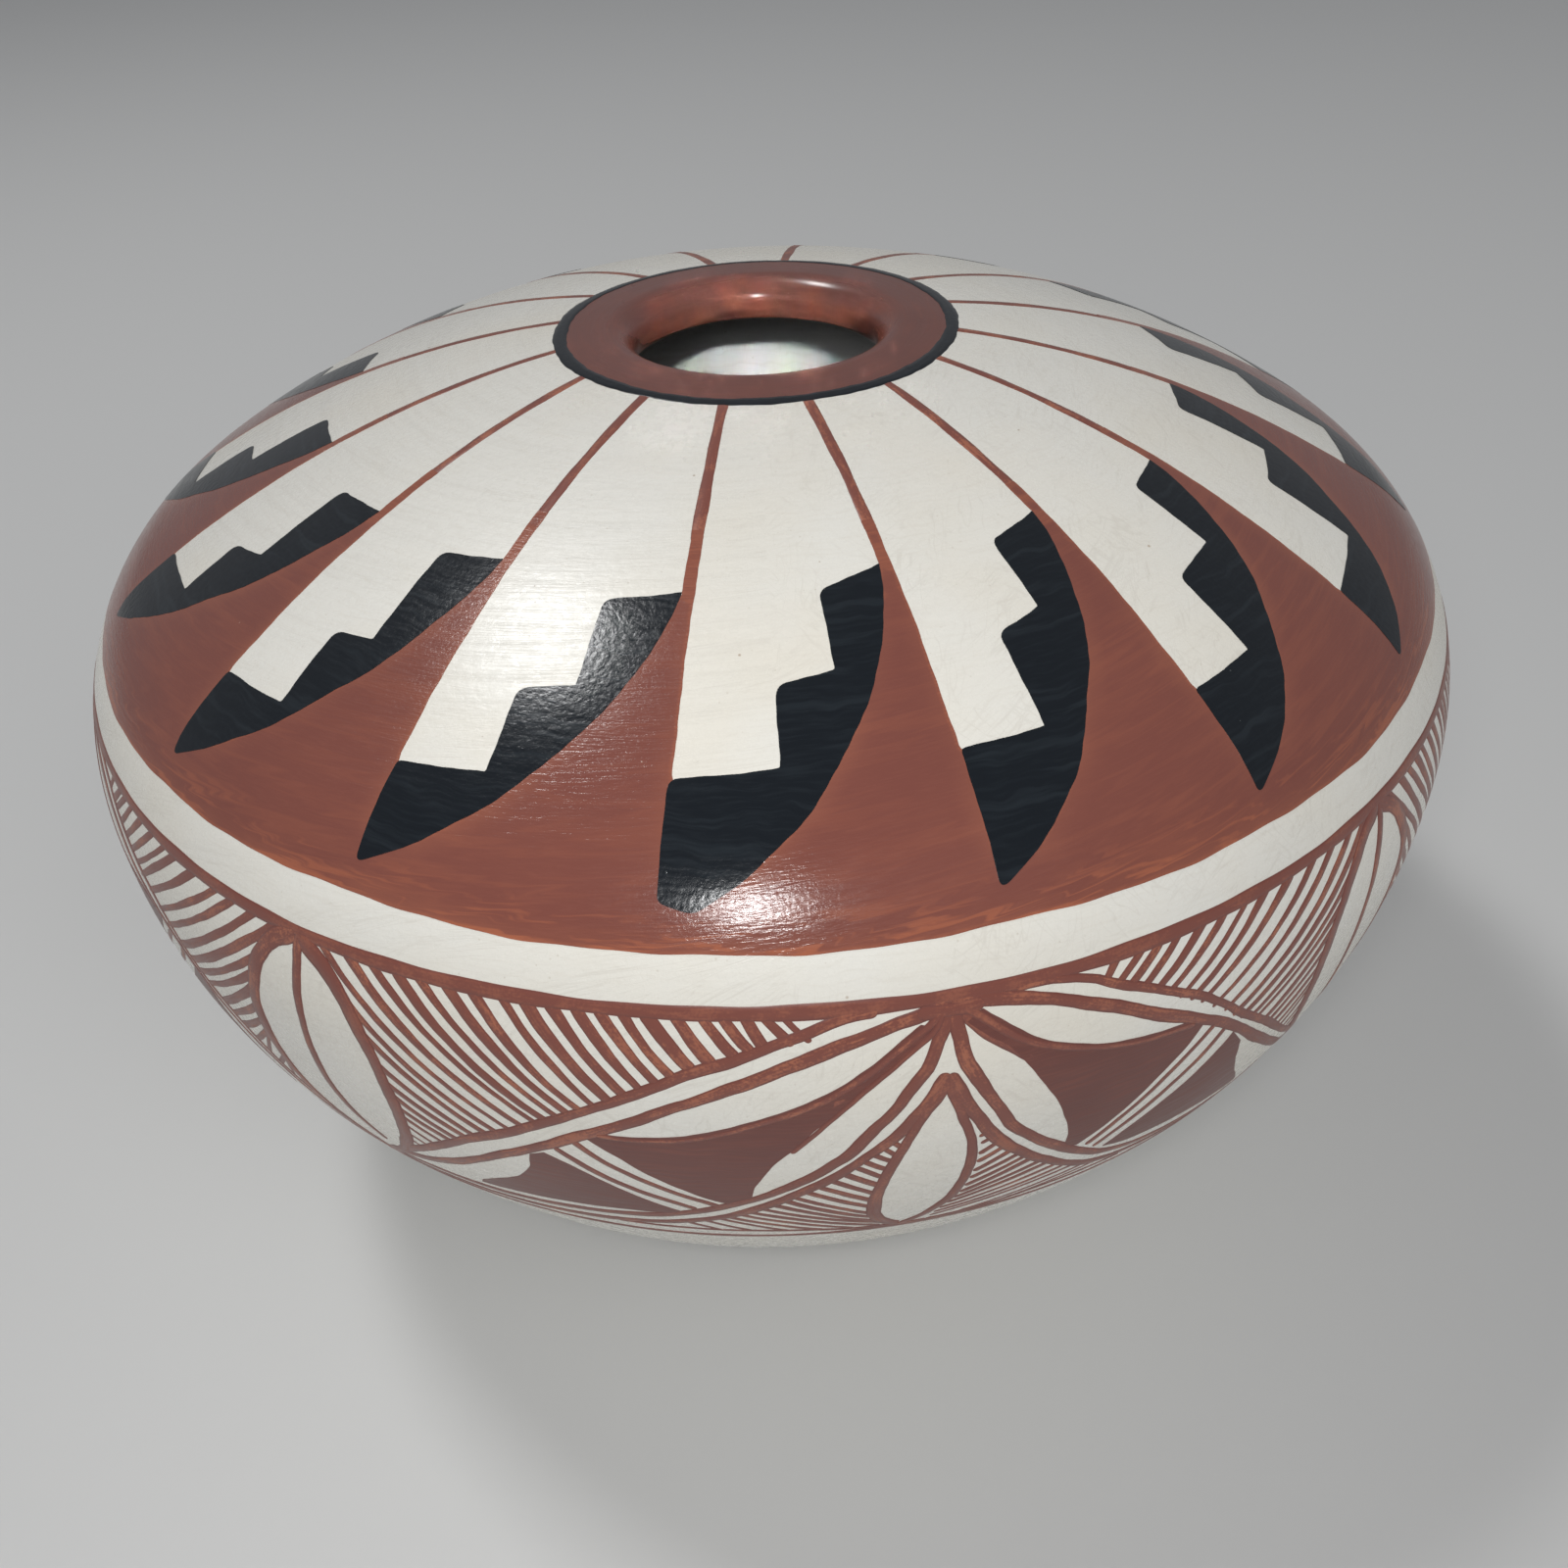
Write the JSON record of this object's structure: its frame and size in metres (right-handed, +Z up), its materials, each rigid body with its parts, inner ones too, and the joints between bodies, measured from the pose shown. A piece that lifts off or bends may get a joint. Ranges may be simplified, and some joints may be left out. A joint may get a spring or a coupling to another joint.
{
  "type": "pueblo pottery jar",
  "caption": "Wide, low, hand-painted pottery seed jar with a small rolled mouth, stepped feathers on its dome and a frieze of fans and leaves.",
  "frame": {"origin": "centre of the foot on the floor", "axes": "+Z up along the jar's axis, the front of the pictured side faces -Y"},
  "size_m": [0.2507, 0.251, 0.1613],
  "materials": {
    "fired_clay": "bare fired clay, fine and matte",
    "white_slip": "ivory slip, stone polished to a soft sheen",
    "red_slip": "red iron slip, highly polished",
    "red_paint": "red iron slip, brushed on and satin",
    "black_paint": "blue-black paint, semi-gloss"
  },
  "bodies": {
    "root": {"clay_body": "fired_clay", "white_slip_coat": "white_slip", "red_collar_slip": "red_slip", "black_collar_ring": "black_paint", "black_feather_steps": "black_paint", "red_feather_rays": "red_paint", "red_shoulder_field": "red_paint", "red_frieze_borders": "red_paint", "red_leaf_outlines": "red_paint", "red_fan_fields": "red_paint"}
  },
  "joints": []
}
